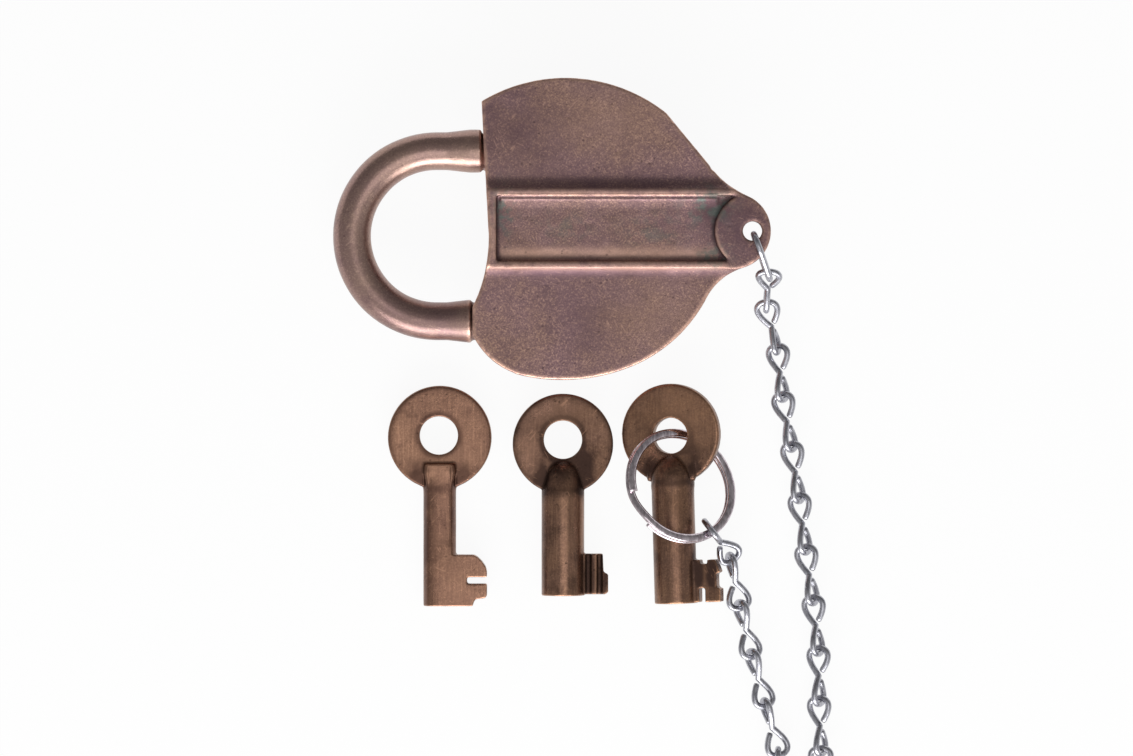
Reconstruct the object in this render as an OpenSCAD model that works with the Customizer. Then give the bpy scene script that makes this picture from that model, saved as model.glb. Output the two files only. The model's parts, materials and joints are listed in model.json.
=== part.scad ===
// Heart-shaped brass switch lock with its jack chain, split ring, captive key and two loose keys.
// Millimetres, +Z up. The lock lies on its back: the origin is on the key-post axis at the resting plane.

/* [Lock case] */
// Overall thickness of the lock over the raised bands
case_t = 21; // [19:0.5:26]
// Step from the raised band down to the flat wings
wing_drop = 1.6; // [0.8:0.1:2.2]
// Wall thickness round the edge of the case
case_wall = 3; // [2.4:0.1:3.6]
// Wall thickness under the wings
face_wall = 2.5; // [2:0.1:3.2]
// Radius of the upper lobe
lobe_r = 38.8; // [37.5:0.1:40]
// Radius of the lower right side
flank_r = 35.2; // [34.5:0.1:36]
// Radius of the bottom edge
base_r = 44.8; // [44:0.1:46]
// Radius of the heel corner
heel_r = 18; // [17.6:0.1:18.6]
// Radius of the ear that carries the chain
ear_r = 9.1; // [8.6:0.1:9.6]
// Thickness of the ear
ear_t = 2.6; // [2.2:0.1:2.8]
// Radius of the chain hole in the ear
eye_r = 2.3; // [2.1:0.1:2.6]

/* [Band] */
// Upper edge of the raised band
band_top = 10; // [9:0.1:11]
// Lower edge of the raised band
band_low = 8.7; // [8.2:0.1:9.6]
// Width of each raised rim
rim_w = 1.4; // [1:0.1:2]
// Width of the fillet between the upper rim and its wing
fillet_up = 3.2; // [2.5:0.1:4.5]
// Width of the fillet between the lower rim and its wing
fillet_low = 2.8; // [2.4:0.1:3.4]
// Depth of the bare panel below the rims
panel_depth = 1.4; // [0.8:0.1:1.6]
// Left end of the panel
panel_left = 22.4; // [21:0.1:23]
// Radius of the panel's curved end round the chain hole
panel_end_r = 9; // [7:0.1:10]

/* [Shackle] */
// Diameter of the shackle bar
bar_d = 9.1; // [8.4:0.1:9.4]
// Centreline radius of the shackle bow
bow_r = 20.4; // [20:0.1:20.8]
// Diameter of the collars next to the case
collar_d = 10.4; // [9.6:0.1:10.8]
// Running clearance round the shackle
bar_gap = 0.4; // [0.3:0.05:0.6]
// Opening angle of the shackle
swing = 85; // [70:1:88]
// Diameter of the pivot pin
pivot_d = 5; // [4:0.1:6]
// Radius of the heel knuckle
knuckle_r = 6; // [5.6:0.1:6.4]

/* [Mechanism] */
// Thickness of each lever
lever_t = 2; // [1.6:0.1:2.2]
// Space between the levers
lever_gap = 0.4; // [0.3:0.05:0.5]
// Diameter of the lever pin
lever_pin_d = 3.2; // [2.6:0.1:3.8]
// Running clearance of pins in their bores
pin_gap = 0.05; // [0.02:0.01:0.1]
// Diameter of the key post
post_d = 4.8; // [4:0.1:5]
// Thickness of the leaf springs
leaf_t = 0.6; // [0.5:0.05:0.8]
// Height of the shackle's leaf spring
leaf_h = 5; // [4:0.1:6]

/* [Keyhole and drop] */
// Radius of the keyhole
keyhole_r = 5.7; // [5.5:0.1:6]
// Width of the slot for the bit
slot_w = 5.4; // [4.5:0.1:5.6]
// Reach of the slot from the post
slot_reach = 12.2; // [11.8:0.1:12.6]
// Depth of the recess that holds the drop
drop_recess = 2.2; // [2:0.1:2.4]
// Thickness of the drop
drop_t = 1.2; // [0.8:0.1:1.3]
// Diameter of the drop's hinge pin
drop_pin_d = 1; // [0.8:0.1:1.2]

/* [Chain and ring] */
// Diameter of the chain wire
wire_d = 1.5; // [1.3:0.05:1.7]
// Half width of a link loop on its centreline
loop_w = 2.5; // [2.3:0.05:2.8]
// Half width of the loop that holds the ring
ring_loop_w = 3.4; // [3.3:0.05:3.6]
// Angle that the links lie over on the table
link_roll = 28; // [10:1:30]
// Clearance between linked wires
wire_gap = 0.1; // [0.05:0.01:0.2]
// Outer diameter of the split ring
ring_d = 28.6; // [28:0.1:29.2]
// Radial width of the ring wire
ring_w = 2; // [1.8:0.1:2.1]
// Axial thickness of one ring coil
coil_t = 1.25; // [1:0.05:1.3]

/* [Keys] */
// Thickness of the key bows
bow_t = 3; // [2.6:0.1:3.2]
// Edge radius of the bows
bow_edge = 0.6; // [0.3:0.05:0.9]
// Bow radius of the flat-shank key
bow1_r = 12.5; // [12:0.1:13]
// Width of the flat shank
shank_w = 7.9; // [7.4:0.1:8.4]
// Thickness of the flat shank
shank_t = 5.5; // [5:0.1:5.6]
// Bore radius in the flat shank
bore1_r = 1.9; // [1.6:0.05:2]
// Bow radius of the barrel keys
bow2_r = 12.1; // [11.8:0.1:12.4]
// Diameter of the key barrels
barrel_d = 10.3; // [10:0.1:10.6]
// Length of the taper at the head of a barrel
dome_h = 4.6; // [3.5:0.1:5.5]
// Radius at the end of the taper
dome_r = 3.9; // [3.5:0.1:4.4]
// Space between the dome and the bow hole
dome_gap = 0.3; // [0.2:0.1:0.8]
// Bore radius in the key barrels
bore_r = 2.65; // [2.5:0.05:2.8]
// Depth of the bores
bore_len = 22; // [18:0.5:26]
// Radius of the holes in the bows
bow_hole_r = 4.6; // [4.4:0.05:4.8]
// Radius of the hole that the ring runs through
ring_hole_r = 4.3; // [4.2:0.05:4.6]
// Thickness of the key bits
bit_t = 3.4; // [3:0.1:3.8]

/* [Hidden] */
$fn = 96;
mid_z = case_t / 2;
wing_z = case_t - wing_drop;
cav_lo = wing_drop + face_wall + 0.4;
cav_hi = wing_z - face_wall;
far = 60;
// Reference points of the case outline
lobe_c = [-5.9, -2.2];
flank_c = [-3.4, 0.3];
base_c = [-6.7, 9.3];
heel_c = [-11.8, -17];
ear_c = [34, 0];
eye_c = [38.7, 0];
waist_c = [-62.2, -1.4];
waist_r = 38;
heel_x = -28.1;
edge_a = [-25.9, 30.2];
edge_b = [-24.2, -1.4];
flank_a = [17.3, 29.3];
flank_b = [30, 13.9];
neck_up_c = [46, 27.9];
neck_up_r = norm(neck_up_c - ear_c) - ear_r;
neck_low_c = [40.9, -23];
neck_low_r = norm(neck_low_c - ear_c) - ear_r;
// Mechanism places
toe_y = 19.4;
heel_y = -21.4;
bow_c = [-36.7, (toe_y + heel_y) / 2];
pivot = [-19.6, heel_y];
toe_r = toe_y - heel_y;
lever_c = [15.6, 16.1];
rivets = [[27, 0.5], [4, 30.4], [3, -29]];
rivet_r = 1.5;
boss_r = 3.4;
bar_r = bar_d / 2;
bar_slot = collar_d / 2 + bar_gap;
// Heights of the levers, and the clearances at the seats of the levers and of the heel
lever_z0 = cav_lo + 2;
lever_top = lever_z0 + 3 * lever_t + 2 * lever_gap;
lever_seat = 0.3;
heel_seat = 0.2;
// Blind ends of the pin holes, and the tops of the pins and of the key post in them
hole_end = wing_z - 1.4;
pin_end = wing_z - 1.5;
post_end = wing_z - 1.2;
// The shackle flares from flare_x to collar_x, and its toe has a notch for the lever noses
flare_x = -34.3;
collar_x = -28.8;
notch_x = -20.8;
notch_w = 5.4;
// Angles about the pivot that the toe takes up, and that are free for it in the case
toe_span = [82, 99];
toe_room = [76, 112];
// Lever outline: eye round the pin, back under the upper wall, arm, nose in the notch, belly over the key
lever_eye_r = 4.4;
back_y = 29.4;
arm_y = 26.1;
nose_x = -19.3;
nose_y = 24.5;
nose_w = 2.6;
belly_y = 12.2;
// Lever spring: foot and root on the lever's back, bend and tip along the wall
spring_foot = [-6, 27.95];
spring_root = [-4.6, 27.5];
spring_bend = [-12.4, 30.6];
spring_tip = [-15.6, 30.9];
drop_x = -10.4;
drop_z = drop_recess / 2;
drop_len = slot_reach + 0.9;
ear_x = 32.2;

// Places of the keys on the table, at the centres of their bows
key_1_at = [-36.2, -49.4, shank_t / 2];
key_2_at = [-6.5, -50.9, barrel_d / 2];
key_3_at = [19.6, -48.5, barrel_d / 2];
key_3_turn = [0, -16, 1.6];
// Reach of each key from its bow centre to the end of its bit, and of the bits from their axes
key_1_end = -40.6;
key_2_end = -36.5;
key_3_end = -40.8;
bit_1_x = 11.4;
bit_2_x = 10.9;
bit_3_x = 11.5;
bit_1_h = 12.4;
bit_2_h = 10.1;
bit_3_h = 10.4;

function unit(v) = v / norm(v);

// Ring: a tilted plane through the bow hole of the captive key and over its barrel
ring_r = (ring_d - ring_w) / 2;
ring_c = [21.8, -61, 8.8];
ring_slope = [-0.5, -0.38];
ring_n = unit([-ring_slope[0], -ring_slope[1], 1]);
ring_u = unit([1, 0, ring_slope[0]]);
ring_v = cross(ring_n, ring_u);
// Angle on the ring where the last link hangs
hang_a = -60;
hang = ring_c + ring_r * (cos(hang_a) * ring_u + sin(hang_a) * ring_v);

// The first link hooks over the wall between the chain hole and the edge of the ear
hook_dir = [0.371, -0.928];
hook_tilt = 33;
hook_off = (eye_c - ear_c) * hook_dir;
wall_out = sqrt(hook_off * hook_off - norm(eye_c - ear_c) * norm(eye_c - ear_c) + ear_r * ear_r) - hook_off;
wall_mid = (eye_r + wall_out) / 2;
hook_back = 3.55;
hook_s = wall_mid - hook_back * cos(hook_tilt);
hook_w = 3.2;
hook = [
  eye_c[0] + hook_s * hook_dir[0],
  eye_c[1] + hook_s * hook_dir[1],
  case_t - ear_t / 2 + hook_back * sin(hook_tilt)
];

// Chain route: the points where the links join, from the ear to the ring
link_z = loop_w + wire_d / 2 + 0.05;
first_pitch = 11.6;
last_bend = [34.2, -78.2, link_z + 0.6];
ring_lead = 2.7;
hub = [
  hook,
  hook + first_pitch * [cos(hook_tilt) * hook_dir[0], cos(hook_tilt) * hook_dir[1], -sin(hook_tilt)],
  [42.3, -17.2, link_z + 2.9], [45.2, -28, link_z], [46.4, -39.6, link_z], [48.6, -51.6, link_z],
  [50.4, -64, link_z], [52, -76.4, link_z], [53.8, -88.6, link_z], [55.1, -100.8, link_z],
  [55.2, -112.9, link_z], [55.7, -125, link_z], [56.6, -137.2, link_z], [44.6, -137.4, link_z],
  [45.6, -125.2, link_z], [42.2, -113.4, link_z], [39, -101.6, link_z], [36.2, -89.8, link_z],
  last_bend, hang + ring_lead * unit(hang - last_bend)
];
link_n = len(hub) - 1;
function heading(k) = unit(hub[min(k, link_n - 1) + 1] - hub[min(k, link_n - 1)]);
reach = wire_d / 2 + wire_gap / 2;
// Linked wires part along the new link's bearing and the old link's slope
function parting(k) =
  let (o = heading(k - 1), n = heading(k), f = norm([o[0], o[1]]) / norm([n[0], n[1]]))
  [n[0] * f, n[1] * f, o[2]];
link_s = [for (k = [0:link_n - 1]) k == 0 ? hub[0] : hub[k] - reach * parting(k)];
link_e = [for (k = [1:link_n]) k == link_n ? hub[k] : hub[k] + reach * parting(k)];
function link_name(k) = str("chain_link_", k < 9 ? "0" : "", k + 1);

// A half plane on the left of the line from a to b, moved inwards by d
module half_plane(a, b, d = 0) {
  t = unit(b - a);
  n = [-t[1], t[0]];
  translate(a + n * d)
    rotate(atan2(t[1], t[0]))
      translate([-2 * far, 0])
        square([4 * far, 2 * far]);
}

module disc(c, r) {
  translate(c)
    circle(r);
}

module box2(x0, x1, y0, y1) {
  translate([x0, y0])
    square([x1 - x0, y1 - y0]);
}

// Outline of the case, drawn in by d for the cavity
module heart(d = 0) {
  intersection() {
    disc(lobe_c, lobe_r - d);
    half_plane(edge_a, edge_b, d);
    half_plane(flank_b, flank_a, d);
    box2(-far, far, -0.1, far);
  }
  difference() {
    union() {
      intersection() {
        disc(heel_c, heel_r - d);
        box2(heel_x + d, heel_c[0] + 0.8, -far, 0);
      }
      box2(heel_x + d, heel_c[0] + 0.8, heel_c[1], 0);
      intersection() {
        disc(base_c, base_r - d);
        box2(-17.8, 8, -far, 0);
      }
      intersection() {
        disc(flank_c, flank_r - d);
        box2(7.9, far, -far, 0);
      }
    }
    disc(waist_c, waist_r + d);
  }
}

// Neck and ear that carry the chain
module neck() {
  up = neck_up_c - neck_up_r * unit([0.772, 0.636]);
  up_tip = ear_c + ear_r * unit(neck_up_c - ear_c);
  low_tip = ear_c + ear_r * unit(neck_low_c - ear_c);
  low = flank_c + flank_r * unit(neck_low_c - flank_c);
  difference() {
    polygon([[0, 0], [15, 20], up, up_tip, ear_c, low_tip, low, [15, -20]]);
    disc(neck_up_c, neck_up_r);
    disc(neck_low_c, neck_low_r);
  }
  disc(ear_c, ear_r);
}

module outline() {
  heart();
  neck();
}

// Room inside the case, with posts left standing round the rivets
module cavity() {
  difference() {
    heart(case_wall);
    box2(24, far, -far, far);
    for (p = rivets) disc(p, boss_r);
  }
}

// Raised band in section, across the case: y to the right, height up
module band_section() {
  up_r = (fillet_up * fillet_up + wing_drop * wing_drop) / (2 * wing_drop);
  low_r = (fillet_low * fillet_low + wing_drop * wing_drop) / (2 * wing_drop);
  difference() {
    translate([-band_low - fillet_low, 0])
      square([band_low + band_top + fillet_low + fillet_up, mid_z]);
    translate([band_top + fillet_up, mid_z - wing_drop + up_r])
      circle(up_r);
    translate([-band_low - fillet_low, mid_z - wing_drop + low_r])
      circle(low_r);
  }
}

// Panel recess in section, with filleted walls
module panel_section(depth) {
  y0 = rim_w - band_low;
  y1 = band_top - rim_w;
  translate([y0, mid_z])
    square([y1 - y0, depth]);
  translate([y0 + depth, mid_z - depth])
    square([y1 - y0 - 2 * depth, 2 * depth]);
  translate([y0 + depth, mid_z])
    circle(depth);
  translate([y1 - depth, mid_z])
    circle(depth);
}

// Extrudes a section (y, height above the joint plane) along X
module run_x(x0, x1) {
  translate([x0, 0, mid_z])
    rotate([90, 0, 90])
      linear_extrude(x1 - x0)
        children();
}

// Half of the case above the joint plane, without its holes
module half_shell(depth, ear) {
  difference() {
    union() {
      translate([0, 0, mid_z])
        linear_extrude(mid_z - wing_drop)
          outline();
      intersection() {
        translate([0, 0, mid_z])
          linear_extrude(mid_z)
            outline();
        run_x(-far, far)
          band_section();
      }
      translate([0, 0, case_t - ear_t])
        linear_extrude(ear_t)
          disc(ear_c, ear_r);
    }
    difference() {
      run_x(-panel_left, far)
        panel_section(depth);
      translate([eye_c[0], eye_c[1], 0])
        cylinder(r = panel_end_r, h = 2 * case_t);
    }
    translate([0, 0, mid_z - 1])
      linear_extrude(cav_hi - mid_z + 1)
        cavity();
    translate([ear_x, -far, 0])
      cube([far, 2 * far, ear ? case_t - ear_t : 2 * case_t]);
  }
}

// Path of the toe through the case wall, a ring round the shackle pivot
module toe_path(r, a0, a1) {
  translate([pivot[0], pivot[1], mid_z])
    rotate([0, 0, a0])
      rotate_extrude(angle = a1 - a0)
        translate([toe_r, 0])
          circle(r);
}

// Slot that lets the heel leg swing down
module heel_slot() {
  translate([0, 0, mid_z - bar_slot])
    linear_extrude(2 * bar_slot)
      translate(pivot) {
        for (a = [180, 180 + swing])
          rotate(a)
            translate([0, -bar_slot])
              square([far / 2, 2 * bar_slot]);
        polygon([
          [0, 0],
          [-far / 2, 0],
          far / 2 * [cos(180 + swing / 2), sin(180 + swing / 2)],
          far / 2 * [cos(180 + swing), sin(180 + swing)]
        ]);
        circle(knuckle_r + bar_gap);
      }
}

module pin_at(p, r, z0, z1) {
  translate([p[0], p[1], z0])
    cylinder(r = r, h = z1 - z0);
}

// Holes that both halves share
module shared_holes() {
  toe_path(bar_r + bar_gap, toe_room[0], toe_room[1]);
  heel_slot();
  kick_leaf();
  pin_at(pivot, pivot_d / 2, -1, hole_end);
  pin_at(lever_c, lever_pin_d / 2, -1, hole_end);
  for (p = rivets) pin_at(p, rivet_r, -1, hole_end);
}

// Bosses that seat the levers and the heel on their pins
module seats(z0, z1, lever_end, heel_end) {
  difference() {
    union() {
      pin_at(lever_c, boss_r, z0 < mid_z ? z0 : lever_end, z0 < mid_z ? lever_end : z1);
      pin_at(pivot, boss_r, z0 < mid_z ? z0 : heel_end, z0 < mid_z ? heel_end : z1);
    }
    pin_at(pivot, pivot_d / 2, -1, hole_end);
    pin_at(lever_c, lever_pin_d / 2, -1, hole_end);
  }
}

module case_front() {
  color([0.52, 0.42, 0.38]) {
    difference() {
      half_shell(panel_depth, true);
      shared_holes();
      pin_at(eye_c, eye_r, -1, 2 * case_t);
      pin_at([0, 0], post_d / 2, -1, post_end);
    }
    seats(mid_z, cav_hi + 0.1, lever_top + lever_seat, mid_z + bar_r + heel_seat);
  }
}

module case_back() {
  color([0.48, 0.39, 0.35]) {
    difference() {
      translate([0, 0, case_t])
        mirror([0, 0, 1])
          half_shell(drop_recess, false);
      shared_holes();
      pin_at([0, 0], keyhole_r, -1, mid_z);
      translate([0, -slot_w / 2, -1])
        cube([slot_reach, slot_w, mid_z]);
      translate([drop_x, -band_low + 0.4, drop_z])
        rotate([-90, 0, 0])
          cylinder(d = drop_pin_d, h = band_low + band_top - 0.8);
    }
    seats(case_t - cav_hi - 0.1, mid_z, lever_z0 - lever_seat, mid_z - bar_r - heel_seat);
  }
}

module case_rivets() {
  color([0.55, 0.44, 0.36])
    for (p = rivets) pin_at(p, rivet_r, wing_drop, pin_end);
}

module key_post() {
  color([0.6, 0.58, 0.55])
    pin_at([0, 0], post_d / 2, drop_recess + 0.8, post_end);
}

module lever_pin() {
  color([0.6, 0.58, 0.55])
    pin_at(lever_c, lever_pin_d / 2, wing_drop, pin_end);
}

module shackle_pin() {
  color([0.6, 0.58, 0.55])
    pin_at(pivot, pivot_d / 2, wing_drop, pin_end);
}

module rod_x(x0, x1, y, r0, r1) {
  translate([x0, y, mid_z])
    rotate([0, 90, 0])
      cylinder(r1 = r0, r2 = r1, h = x1 - x0);
}

module shackle() {
  toe_x = edge_b[0] - 1.5;
  color([0.5, 0.4, 0.37])
    difference() {
      union() {
        translate([bow_c[0], bow_c[1], mid_z])
          rotate([0, 0, 90])
            rotate_extrude(angle = 180)
              translate([bow_r, 0])
                circle(bar_r);
        rod_x(bow_c[0], toe_x - 0.3, toe_y, bar_r, bar_r);
        rod_x(flare_x, collar_x, toe_y, bar_r, collar_d / 2);
        rod_x(collar_x, toe_x - 0.3, toe_y, collar_d / 2, collar_d / 2);
        toe_path(bar_r, toe_span[0], toe_span[1]);
        rod_x(bow_c[0], pivot[0], heel_y, bar_r, bar_r);
        rod_x(flare_x, collar_x, heel_y, bar_r, collar_d / 2);
        rod_x(collar_x, heel_x - 0.4, heel_y, collar_d / 2, collar_d / 2);
        pin_at(pivot, knuckle_r, mid_z - bar_r, mid_z + bar_r);
      }
      pin_at(pivot, pivot_d / 2 + pin_gap, -1, 2 * case_t);
      translate([notch_x, toe_y + 0.8, 0])
        cube([notch_w, far, 2 * case_t]);
      translate([notch_x, toe_y + 2.6, 0])
        cube([far, far, 2 * case_t]);
    }
}

// Leaf beside the heel knuckle, its lower end let into the wall
module kick_leaf() {
  x = pivot[0] + knuckle_r + 0.7;
  foot = base_c[1] - sqrt(pow(base_r - case_wall / 2, 2) - pow(x - base_c[0], 2));
  translate([x, foot, mid_z - leaf_h / 2])
    cube([leaf_t, heel_y + 6.8 - foot, leaf_h]);
}

module shackle_spring() {
  color([0.45, 0.46, 0.48])
    kick_leaf();
}

// Lever blank: eye on the pin, arm over the toe, nose and belly
module lever_blank() {
  difference() {
    union() {
      disc(lever_c, lever_eye_r);
      polygon([
        [lever_c[0], lever_c[1] + lever_eye_r], [2, back_y - 4.2], [-11, back_y],
        [nose_x, back_y], [nose_x, nose_y], [nose_x + nose_w, nose_y], [nose_x + nose_w + 0.6, arm_y],
        [-12.4, arm_y], [-8.6, arm_y - 2.7], [-5, belly_y + 2.4], [0, belly_y + 0.4], [6, belly_y],
        [lever_c[0], lever_c[1] - lever_eye_r]
      ]);
    }
    disc(lever_c, lever_pin_d / 2 + pin_gap);
  }
}

module lever(k) {
  color([0.66, 0.56, 0.36])
    translate([0, 0, lever_z0 + k * (lever_t + lever_gap)])
      linear_extrude(lever_t)
        lever_blank();
}

// Leaf spring from a lever's back to the upper wall
module lever_spring(k) {
  color([0.45, 0.46, 0.48])
    translate([0, 0, lever_z0 + k * (lever_t + lever_gap) + 0.2])
      linear_extrude(lever_t - 0.4)
        polygon([
          spring_foot, spring_root, spring_bend, spring_tip,
          spring_tip - [0, leaf_t], spring_bend - [0.1, leaf_t]
        ]);
}

module drop() {
  y0 = rim_w - band_low + drop_recess + 0.1;
  y1 = band_top - rim_w - drop_recess - 0.1;
  color([0.5, 0.4, 0.36])
    difference() {
      union() {
        intersection() {
          translate([drop_x, y0, drop_z - drop_t / 2])
            cube([drop_len - drop_x, y1 - y0, drop_t]);
          translate([drop_len - 14, (y0 + y1) / 2, 0])
            linear_extrude(drop_recess)
              union() {
                circle(14);
                box2(-far, 0, -far, far);
              }
        }
        translate([drop_x, y0, drop_z])
          rotate([-90, 0, 0])
            cylinder(d = drop_recess - 0.3, h = y1 - y0);
      }
      translate([drop_x, y0 - 1, drop_z])
        rotate([-90, 0, 0])
          cylinder(d = drop_pin_d + 2 * pin_gap, h = y1 - y0 + 2);
    }
}

module drop_pin() {
  color([0.6, 0.58, 0.55])
    translate([drop_x, -band_low + 0.5, drop_z])
      rotate([-90, 0, 0])
        cylinder(d = drop_pin_d, h = band_low + band_top - 1);
}

// Sweeps a closed section along points with the given side vectors
function tube_faces(n, m) = concat(
  [for (i = [0:n - 2]) for (j = [0:m - 1]) [i * m + j, i * m + (j + 1) % m, (i + 1) * m + j]],
  [for (i = [0:n - 2]) for (j = [0:m - 1])
    [i * m + (j + 1) % m, (i + 1) * m + (j + 1) % m, (i + 1) * m + j]],
  [for (j = [1:m - 2]) [0, j + 1, j]],
  [for (j = [1:m - 2]) [(n - 1) * m, (n - 1) * m + j, (n - 1) * m + j + 1]]
);

// Centreline of one link: a flat loop at its start, an upright loop at its end
link_cut = 9.4;
// The links roll over by this much from one to the next, and lie flat at the turn and at both ends
roll_step = 16;
turn_k = 12.5;
function roll(k) = min(link_roll, roll_step * min(k - 1, link_n - 1 - k, abs(k - turn_k) - 0.5));
link_rings = 31;
function link_t(i) = link_cut + (360 - 2 * link_cut) * i / (link_rings - 1);
function link_pt(c, d, l, m, a, w, t) =
  t < 180 ? c - d * a * sin(t) + l * w * sin(2 * t) : c - d * a * sin(t) + m * w * sin(2 * t);

module link(s, e, w0, w1, turn) {
  c = (s + e) / 2;
  d = unit(e - s);
  flat = unit(cross([0, 0, 1], d));
  l = flat * cos(turn) + cross(d, flat) * sin(turn);
  m = cross(d, l);
  a = norm(e - s) / 2;
  sides = 6;
  line = [for (i = [0:link_rings - 1])
    link_pt(c, d, l, m, a, link_t(i) < 180 ? w0 : w1, link_t(i))];
  pts = [for (i = [0:link_rings - 1])
    let (
      t = unit(line[min(i + 1, link_rings - 1)] - line[max(i - 1, 0)]),
      f = min(90, max(0, (link_t(i) - 150) * 1.5)),
      b0 = m * cos(f) - l * sin(f),
      n = unit(cross(b0, t)),
      b = cross(t, n)
    )
    for (j = [0:sides - 1]) line[i] + wire_d / 2 * (n * cos(60 * j) - b * sin(60 * j))];
  polyhedron(points = pts, faces = tube_faces(link_rings, sides), convexity = 6);
}

// Plain long link in an upright plane: two half rounds and two straight runs
module long_link(s, e, w) {
  d = unit(e - s);
  l = unit(cross([0, 0, 1], d));
  m = cross(d, l);
  c = (s + e) / 2;
  h = norm(e - s) / 2 - w;
  turn = 12;
  sides = 6;
  arc = [for (i = [0:2 * turn + 1]) i <= turn ? i * 180 / turn - 90 : (i - 1) * 180 / turn - 90];
  pts = [for (i = [0:len(arc) - 1]) for (j = [0:sides - 1])
    let (o = d * cos(arc[i]) + m * sin(arc[i]))
    c + (i <= turn ? h : -h) * d + o * (w + wire_d / 2 * cos(60 * j)) - l * wire_d / 2 * sin(60 * j)];
  n = len(arc);
  faces = concat(
    [for (i = [0:n - 1]) for (j = [0:sides - 1])
      [i * sides + j, i * sides + (j + 1) % sides, ((i + 1) % n) * sides + j]],
    [for (i = [0:n - 1]) for (j = [0:sides - 1])
      [i * sides + (j + 1) % sides, ((i + 1) % n) * sides + (j + 1) % sides, ((i + 1) % n) * sides + j]]
  );
  polyhedron(points = pts, faces = faces, convexity = 6);
}

module chain_link(k) {
  color([0.72, 0.72, 0.75])
    if (k == 0) long_link(link_s[k], link_e[k], hook_w);
    else link(link_s[k], link_e[k], loop_w, k == link_n - 1 ? ring_loop_w : loop_w, roll(k));
}

// Two-coil ring: lower coil, cross-over, upper coil
ring_a0 = 222;
ring_turn = 684;
ring_steps = 76;
cross_a = 322;
cross_turn = 36;
coil_gap = 0.1;
function ring_lift(a) =
  let (x = min(1, max(0, (a - cross_a) / cross_turn)))
  (x * x * (3 - 2 * x) - 0.5) * (coil_t + coil_gap);

module split_ring() {
  q = 0.3;
  hw = ring_w / 2;
  ht = coil_t / 2;
  sec = [[-hw, -ht + q], [-hw + q, -ht], [hw - q, -ht], [hw, -ht + q],
         [hw, ht - q], [hw - q, ht], [-hw + q, ht], [-hw, ht - q]];
  pts = [for (i = [0:ring_steps])
    let (
      a = ring_turn * i / ring_steps,
      o = cos(ring_a0 + a) * ring_u + sin(ring_a0 + a) * ring_v
    )
    for (p = sec) ring_c + o * (ring_r + p[0]) + ring_n * (ring_lift(a) + p[1])];
  color([0.8, 0.79, 0.81])
    polyhedron(points = pts, faces = tube_faces(ring_steps + 1, 8), convexity = 6);
}

// Disc bow with a rounded rim, lying in the XY plane round its centre
module bow(r) {
  rotate_extrude() {
    translate([0, -bow_t / 2])
      square([r - bow_edge, bow_t]);
    translate([0, bow_edge - bow_t / 2])
      square([r, bow_t - 2 * bow_edge]);
    for (z = [-1, 1])
      translate([r - bow_edge, z * (bow_t / 2 - bow_edge)])
        intersection() {
          circle(bow_edge);
          box2(0, bow_edge, -bow_edge, bow_edge);
        }
  }
}

module bit(t) {
  translate([0, 0, -t / 2])
    linear_extrude(t)
      children();
}

// Rod along -Y from y0 to y1
module rod_y(y0, y1, r) {
  translate([0, y0, 0])
    rotate([90, 0, 0])
      cylinder(r = r, h = y0 - y1);
}

module key_1() {
  end = key_1_end;
  top = end + bit_1_h;
  x = bit_1_x;
  color([0.5, 0.38, 0.31])
    translate(key_1_at)
      difference() {
        union() {
          bow(bow1_r);
          intersection() {
            rod_y(-6.4, end, shank_w / 2);
            translate([-far, -far, -shank_t / 2])
              cube([2 * far, 2 * far, shank_t]);
          }
          bit(shank_t)
            difference() {
              polygon([[0, top], [x - 3.1, top], [x - 2.2, top - 0.5], [x - 1.2, top - 1.5],
                       [x - 0.3, top - 2.8], [x, top - 4], [x, end + 2.5], [x - 0.5, end + 1.9],
                       [x - 2.7, end + 1.7], [x - 3.2, end + 0.9], [x - 3.4, end], [0, end]]);
              box2(x - 4.8, far, end + 5.4, end + 7);
            }
        }
        translate([-0.2, 0.5, -far])
          cylinder(r = bow_hole_r, h = 2 * far);
        rod_y(end + bore_len, end - 1, bore1_r);
      }
}

// Barrel, dome and bore of a barrel key: a fine step parts the taper from its round cap
cap_step = 0.08;
module barrel_key(end, hole_r, hole_y) {
  slope = atan((barrel_d / 2 - dome_r) / dome_h);
  cap_r = dome_r / cos(slope) - cap_step;
  cap_y = dome_h - dome_r * tan(slope);
  dome = hole_y - hole_r - dome_gap - cap_y - cap_r;
  difference() {
    union() {
      bow(bow2_r);
      rod_y(dome, end, barrel_d / 2);
      translate([0, dome, 0])
        rotate([-90, 0, 0])
          cylinder(r1 = barrel_d / 2, r2 = dome_r, h = dome_h);
      translate([0, dome + cap_y, 0])
        sphere(cap_r);
      children();
    }
    translate([0, hole_y, -far])
      cylinder(r = hole_r, h = 2 * far);
    rod_y(end + bore_len, end - 1, bore_r);
  }
}

module key_2() {
  end = key_2_end;
  top = end + bit_2_h;
  groove = 0.8;
  x = bit_2_x;
  color([0.48, 0.36, 0.29])
    translate(key_2_at)
      barrel_key(end, bow_hole_r, 1)
        difference() {
          bit(bit_t)
            polygon([[0, top], [x - 1.3, top], [x - 1.1, top - 4.4], [x, top - 5], [x, end + 0.9],
                     [x - 0.7, end + 0.3], [0, end + 0.3]]);
          for (g = [[x - 5.5, x - 4.1], [x - 2.7, x - 1.4]])
            translate([g[0], -far, bit_t / 2 - groove])
              cube([g[1] - g[0], 2 * far, 1]);
        }
}

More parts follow.
